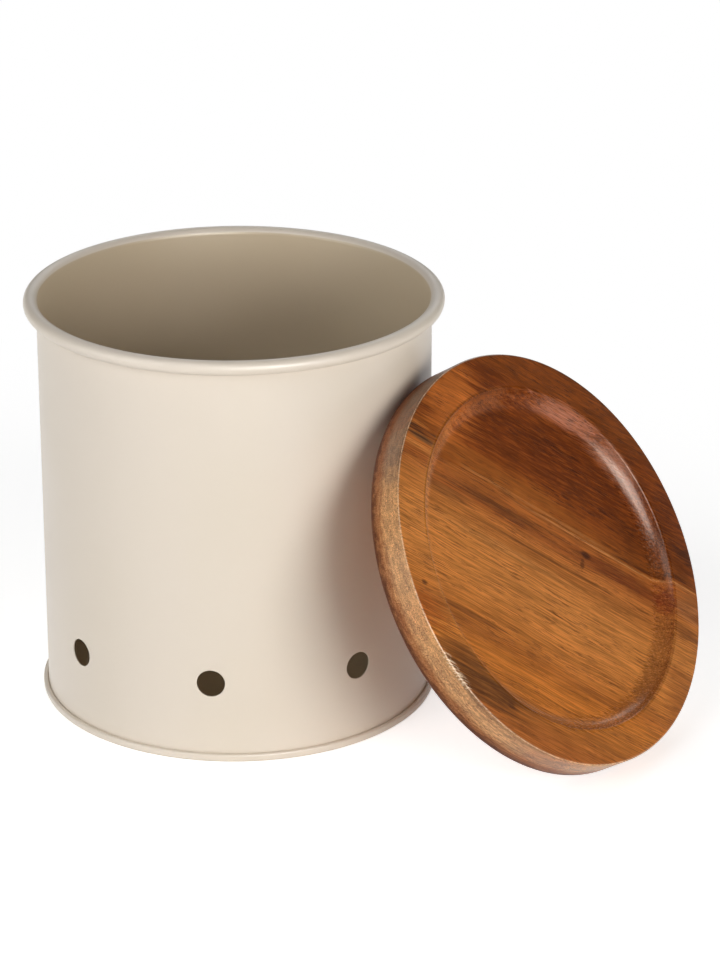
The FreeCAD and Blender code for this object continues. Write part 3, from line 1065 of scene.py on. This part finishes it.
    def wall(self) -> bpy.types.Mesh:
        """Rolled wall with its vents.

        Returns:
            The wall's mesh.
        """
        vertices, quads = carried_round(self.wall_path().section(), self.columns)
        half_cell = math.pi / self.columns if self.cells_per_vent % 2 else 0.0
        turn = Matrix.Rotation(math.radians(self.vent_bearing) + half_cell, 3, "Z")
        vertices = vertices @ np.array(turn).T
        rings, ring_faces = self.vent_rings()
        faces = np.vstack([self.away_from_vents(vertices, quads), ring_faces + len(vertices)])
        mesh = quad_mesh("rolled_wall", np.vstack([vertices, rings]), faces)
        return smooth(mesh, self.crease)

    def side_seam(self) -> bpy.types.Mesh:
        """Raised lap of the sheet's ends: a rounded low strip, carried up the wall and eased at its ends.

        The strip's outline round the wall is a rounded box, and its rise falls to nothing at both ends
        by a quarter circle as long as it is high.

        Returns:
            The strip's mesh.
        """
        low = self.seam_height + self.side_seam_end_gap
        high = self.bead_height - self.bead_diameter / 2 - self.side_seam_end_gap
        across = np.array([-1, -1, -0.985, -0.95, -0.9, -0.3, 0.3, 0.9, 0.95, 0.985, 1, 1])
        across = across * self.side_seam_width / 2
        quarter = np.array([0, 0.35, 0.75, 0.94, 1])
        lift = np.concatenate([[-1], quarter[1:], [1, 1], quarter[:0:-1], [-1]])
        ends = self.side_seam_rise * np.array([0, 0.02, 0.25, 0.6, 1.0])
        between = np.linspace(low, high, self.side_seam_steps + 1)[1:-1]
        height = np.concatenate([low + ends, between, high - ends[::-1]])
        share = np.concatenate([quarter, np.ones(len(between)), quarter[::-1]])
        rise = np.where(lift > 0, lift[None, :] * share[:, None] * self.side_seam_rise, -self.sheet / 2)
        bearing = math.radians(self.side_seam_bearing) + across / self.outer
        points = round_axis(self.outer + rise, bearing, height[:, None]).reshape(-1, 3)
        quads = ring_quads(len(across), len(height), closed_rows=False, by_row=True)
        mesh = quad_mesh("side_seam", points, quads)
        with edited(mesh) as shape:
            bmesh.ops.holes_fill(shape, edges=[edge for edge in shape.edges if edge.is_boundary], sides=0)
        return smooth(mesh, self.side_seam_crease)

    def base_pan(self) -> bpy.types.Mesh:
        """Pressed pan with its half of the foot's seam."""
        mesh = quad_mesh("pressed_pan", *carried_round(self.pan_path().section(), self.columns))
        return smooth(mesh, self.crease)

    def build(self) -> None:
        """Build and paint the wall, its side seam and the pan."""
        paint = self.finish.material()
        add_piece(self.wall(), Body.CANISTER, paint, "canister_wall")
        add_piece(self.side_seam(), Body.CANISTER, paint, None)
        add_piece(self.base_pan(), Body.CANISTER, paint, "base_pan")


@dataclass
class Lid:
    """Lid turned from two glued boards, with a dished face, a locating plug and its gasket."""

    radius: float = 67.7 * MM
    thickness: float = 13.2 * MM
    face_round: float = 0.8 * MM
    back_round: float = 2.0 * MM
    recess_radius: float = 56.0 * MM
    recess_depth: float = 5.0 * MM
    cove_radius: float = 7.0 * MM
    lip_round: float = 0.6 * MM
    glue_line: float = 16.0 * MM
    grain_turn: float = -44.5
    plug_radius: float = 61.3 * MM
    plug_depth: float = 4.5 * MM
    plug_chamfer: float = 1.2 * MM
    gasket_top: float = -1.1 * MM
    gasket_height: float = 1.8 * MM
    groove_depth: float = 1.6 * MM
    groove_play: float = 0.05 * MM
    lip_radius: float = 62.9 * MM
    lip_height: float = 0.7 * MM
    columns: int = 360
    gasket_columns: int = 240
    back_steps: int = 10
    face_steps: int = 8
    lip_steps: int = 6
    cove_steps: int = 18
    tip_steps: int = 8
    crease: float = 40.0
    gasket_crease: float = 35.0
    golden: WoodFinish = GOLDEN_BOARD
    dark: WoodFinish = DARK_BOARD
    silicone: SiliconeFinish = field(default_factory=SiliconeFinish)

    def __post_init__(self) -> None:
        """Read where the lid lies."""
        gasket_depth = self.gasket_height / 2 - self.gasket_top
        self.place = LidPlace.read(gasket_depth, self.grain_turn)

    def section(self) -> np.ndarray:
        """Closed section of the lid, from the middle of its back round to the middle of its face.

        The recess's lip touches the face and the cove, so its centre is both radii from the cove's.

        Returns:
            Rows of radius and height.
        """
        floor = self.thickness - self.recess_depth
        rise = self.cove_radius - self.recess_depth
        cove = (self.recess_radius - math.sqrt(self.cove_radius ** 2 - rise ** 2), floor + self.cove_radius)
        drop = rise + self.lip_round
        reach = math.sqrt((self.cove_radius + self.lip_round) ** 2 - drop ** 2)
        lip = (cove[0] + reach, cove[1] - drop)
        slope = math.degrees(math.atan2(-drop, reach))
        groove = self.plug_radius - self.groove_depth
        gasket_bottom = self.gasket_top - self.gasket_height
        turn_in = self.radius - self.back_round
        back_edge = (turn_in, self.back_round)
        face_edge = (self.radius - self.face_round, self.thickness - self.face_round)
        quarters = (0.25, 0.5, 0.75)
        back = [(share * (self.plug_radius - self.plug_chamfer), -self.plug_depth)
                for share in (0, *quarters, 1)]
        plug = [(self.plug_radius, self.plug_chamfer - self.plug_depth), (self.plug_radius, gasket_bottom),
                (groove, gasket_bottom), (groove, self.gasket_top), (self.plug_radius, self.gasket_top),
                (self.plug_radius, 0), ((self.plug_radius + turn_in) / 2, 0)]
        side = [(self.radius, self.back_round + share * (face_edge[1] - self.back_round))
                for share in quarters]
        floor_rings = [(share * cove[0], floor) for share in (*reversed(quarters), 0)]
        return np.vstack([back, plug,
                          arc_points(back_edge, self.back_round, -90, 0, self.back_steps), side,
                          arc_points(face_edge, self.face_round, 0, 90, self.face_steps),
                          [((self.radius + self.recess_radius) / 2, self.thickness)],
                          arc_points(lip, self.lip_round, 90, 180 + slope, self.lip_steps),
                          arc_points(cove, self.cove_radius, slope, -90, self.cove_steps)[1:],
                          floor_rings])

    def board(self, name: str, keeps_far_side: bool) -> bpy.types.Mesh:
        """One board of the lid: the turned blank cut along the glue line, and capped there.

        Args:
            name: Name of the piece.
            keeps_far_side: Whether the board is the one beyond the glue line.

        Returns:
            The board's mesh, where the lid lies.
        """
        mesh = quad_mesh(name, *carried_round(self.section(), self.columns))
        with edited(mesh) as shape:
            whole = shape.verts[:] + shape.edges[:] + shape.faces[:]
            cut = bmesh.ops.bisect_plane(shape, geom=whole, dist=CUT_WITHIN,
                                         plane_co=(0, self.glue_line, 0), plane_no=(0, 1, 0),
                                         clear_inner=keeps_far_side, clear_outer=not keeps_far_side)
            rim = [edge for edge in cut["geom_cut"] if isinstance(edge, bmesh.types.BMEdge)]
            cap = bmesh.ops.holes_fill(shape, edges=rim, sides=0)["faces"]
            bmesh.ops.triangulate(shape, faces=cap)
        self.lay(mesh)
        return smooth(mesh, self.crease)

    def lay(self, mesh: bpy.types.Mesh) -> None:
        """Move a mesh of the lid to where the lid lies."""
        points = np.empty(len(mesh.vertices) * 3, dtype=np.float32)
        mesh.vertices.foreach_get("co", points)
        moved = self.place.put(points.reshape(-1, 3).astype(float))
        mesh.vertices.foreach_set("co", moved.astype(np.float32).ravel())
        mesh.update()

    def gasket(self) -> bpy.types.Mesh:
        """Silicone ring: a root in the groove and a tapered, round-tipped lip.

        Returns:
            The ring's mesh, where the lid lies.
        """
        root = self.plug_radius - self.groove_depth + self.groove_play
        top = self.gasket_top - self.groove_play
        bottom = self.gasket_top - self.gasket_height + self.groove_play
        tip = (self.lip_radius - self.lip_height / 2, self.gasket_top - self.gasket_height / 2)
        section = np.vstack([[(root, bottom), (self.plug_radius, bottom)],
                             arc_points(tip, self.lip_height / 2, -90, 90, self.tip_steps),
                             [(self.plug_radius, top), (root, top)]])
        mesh = quad_mesh("gasket_ring", *carried_round(section, self.gasket_columns))
        self.lay(mesh)
        return smooth(mesh, self.gasket_crease)

    def build(self) -> None:
        """Build and finish both boards and the gasket."""
        add_piece(self.board("golden_board", False), Body.LID,
                  self.golden.material(self.place), "lid_stave_wide")
        add_piece(self.board("dark_board", True), Body.LID,
                  self.dark.material(self.place), "lid_stave_narrow")
        add_piece(self.gasket(), Body.LID, self.silicone.material(), "lid_gasket")


# Studio


@dataclass(frozen=True)
class Softbox:
    """Rectangular lamp that looks at the aim point. Bearing is from the front towards +X, in degrees.

    One that is for glints only shows in the gloss and adds no other light.
    """

    name: str
    bearing: float
    elevation: float
    distance: float
    width: float
    height: float
    power: float
    colour: Tone = (1.0, 1.0, 1.0)
    glint_only: bool = False

    def build(self, aim: Vector) -> None:
        """Hang the lamp.

        Args:
            aim: Point that it looks at.
        """
        lamp = bpy.data.lights.new(self.name, "AREA")
        lamp.shape = "RECTANGLE"
        lamp.size, lamp.size_y, lamp.energy = self.width, self.height, self.power
        lamp.color = self.colour
        turn, lift = math.radians(self.bearing), math.radians(self.elevation)
        level = math.cos(lift)
        towards = Vector((math.sin(turn) * level, -math.cos(turn) * level, math.sin(lift)))
        thing = placed(self.name, lamp)
        thing.location = aim + towards * self.distance
        thing.rotation_euler = towards.to_track_quat("Z", "Y").to_euler()
        thing.visible_diffuse = not self.glint_only


@dataclass(frozen=True)
class Viewpoint:
    """Camera at the photograph's angle. Its heading is from +Y towards +X, in degrees."""

    ground_distance: float = 1.0967
    height: float = 0.5183
    bearing: float = 8.25
    heading: float = -6.157
    tilt: float = 22.2425
    lens: float = 136.63
    frame_height: float = 36.0
    clip: tuple[float, float] = (0.05, 50.0)

    def build(self) -> None:
        """Set up the camera."""
        data = bpy.data.cameras.new("camera")
        data.lens = self.lens
        data.sensor_fit = "VERTICAL"
        data.sensor_height = self.frame_height
        data.clip_start, data.clip_end = self.clip
        camera = placed("camera", data)
        turn, away = math.radians(self.bearing), self.ground_distance
        camera.location = (away * math.sin(turn), -away * math.cos(turn), self.height)
        camera.rotation_euler = (math.radians(90 - self.tilt), 0, math.radians(-self.heading))
        bpy.context.scene.camera = camera


@dataclass(frozen=True)
class Studio:
    """White floor and backdrop in a dim room, the lamps and the camera.

    Two softboxes stand low at the sides, one hangs high and a faint one behind. The glint panel shows
    only in the gloss, and gives the highlight in the lid's cove.
    """

    aim: tuple[float, float, float] = (0.03, -0.02, 0.07)
    floor_size: float = 12.0
    floor_tone: Tone = (0.95, 0.95, 0.95)
    floor_lift: float = 0.6
    white_from: float = 0.16
    white_beyond: float = 0.34
    room_level: float = 0.07
    backdrop_gloss: float = 0.4
    backdrop_from: float = 0.55
    backdrop_full: float = 0.85
    lamps: tuple[Softbox, ...] = (
        Softbox("left_softbox", -58.0, 10.0, 1.4, 1.0, 0.58, 7.0),
        Softbox("right_softbox", 44.0, 12.0, 1.4, 0.7, 0.58, 11.8, (1.0, 0.98, 0.95)),
        Softbox("high_softbox", -30.0, 38.0, 1.4, 0.9, 0.6, 4.6),
        Softbox("back_softbox", 178.0, 34.0, 1.4, 1.1, 0.6, 3.4),
        Softbox("glint_panel", 20.0, 16.0, 1.4, 0.8, 0.9, 21.0, glint_only=True))

    def floor(self) -> None:
        """Lay the floor: pale and matt, and white to the camera away from the object's shadow."""
        half = self.floor_size / 2
        corners = [(-half, -half, 0), (half, -half, 0), (half, half, 0), (-half, half, 0)]
        mesh = bpy.data.meshes.new("floor")
        mesh.from_pydata(corners, [], [(0, 1, 2, 3)])
        thing = placed("floor", mesh)
        graph = Graph("white_floor")
        graph.tree.nodes.remove(graph.surface)
        seen = self.seen(graph)
        matt = graph.put("ShaderNodeBsdfDiffuse", {"Color": self.floor_tone})
        glow = graph.put("ShaderNodeEmission", {"Strength": graph.times(seen, self.floor_lift)})
        lit = graph.put("ShaderNodeAddShader", {0: matt.outputs[0], 1: glow.outputs[0]})
        white = graph.put("ShaderNodeEmission")
        far = graph.window(graph.length(graph.place()), self.white_from, self.white_beyond)
        blend = graph.put("ShaderNodeMixShader", {0: graph.times(far, seen), 1: lit.outputs[0],
                                                  2: white.outputs[0]})
        graph.feed(graph.output, {"Surface": blend.outputs[0]})
        mesh.materials.append(graph.material)

    def seen(self, graph: Graph) -> Socket:
        """1 where a ray comes from the camera, a reflection or a clear body, and 0 for other rays."""
        path = graph.put("ShaderNodeLightPath").outputs
        direct = graph.plus(path["Is Camera Ray"], path["Is Glossy Ray"])
        return graph.math("ADD", direct, path["Is Transmission Ray"], clamp=True)

    def sky(self) -> None:
        """White to the camera all round, and to reflections and clear bodies where the backdrop stands.

        The backdrop stands behind the object, on the far side of the view. The rest of the room is dim.
        """
        world = bpy.data.worlds.new("studio")
        bpy.context.scene.world = world
        world.use_nodes = True
        graph = Graph("backdrop", world.node_tree)
        path = graph.put("ShaderNodeLightPath").outputs
        away = graph.split(graph.put("ShaderNodeTexCoord").outputs["Generated"])[1]
        backdrop = graph.window(away, self.backdrop_from, self.backdrop_full, 0.0, self.backdrop_gloss)
        mirrored = graph.math("ADD", path["Is Glossy Ray"], path["Is Transmission Ray"], clamp=True)
        white = graph.math("ADD", path["Is Camera Ray"], graph.times(mirrored, backdrop), clamp=True)
        level = graph.put("ShaderNodeMapRange", {"Value": white, "To Min": self.room_level})
        background = graph.put("ShaderNodeBackground", {"Color": (1.0, 1.0, 1.0),
                                                        "Strength": level.outputs["Result"]})
        graph.put("ShaderNodeOutputWorld", {"Surface": background.outputs[0]})

    def build(self) -> None:
        """Set up the floor, the background, the lamps and the camera."""
        bpy.context.scene.view_settings.view_transform = "Standard"
        self.floor()
        self.sky()
        for lamp in self.lamps:
            lamp.build(Vector(self.aim))
        Viewpoint().build()
        LOG.info("studio: floor, background and %d lamps", len(self.lamps))


def main() -> None:
    """Build the studio and the garlic keeper's sub-assemblies in order."""
    logging.basicConfig(level=logging.INFO, format="%(name)s: %(message)s")
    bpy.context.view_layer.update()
    Studio().build()
    for part in (Canister(), Lid()):
        part.build()


if __name__ == "__main__":
    main()
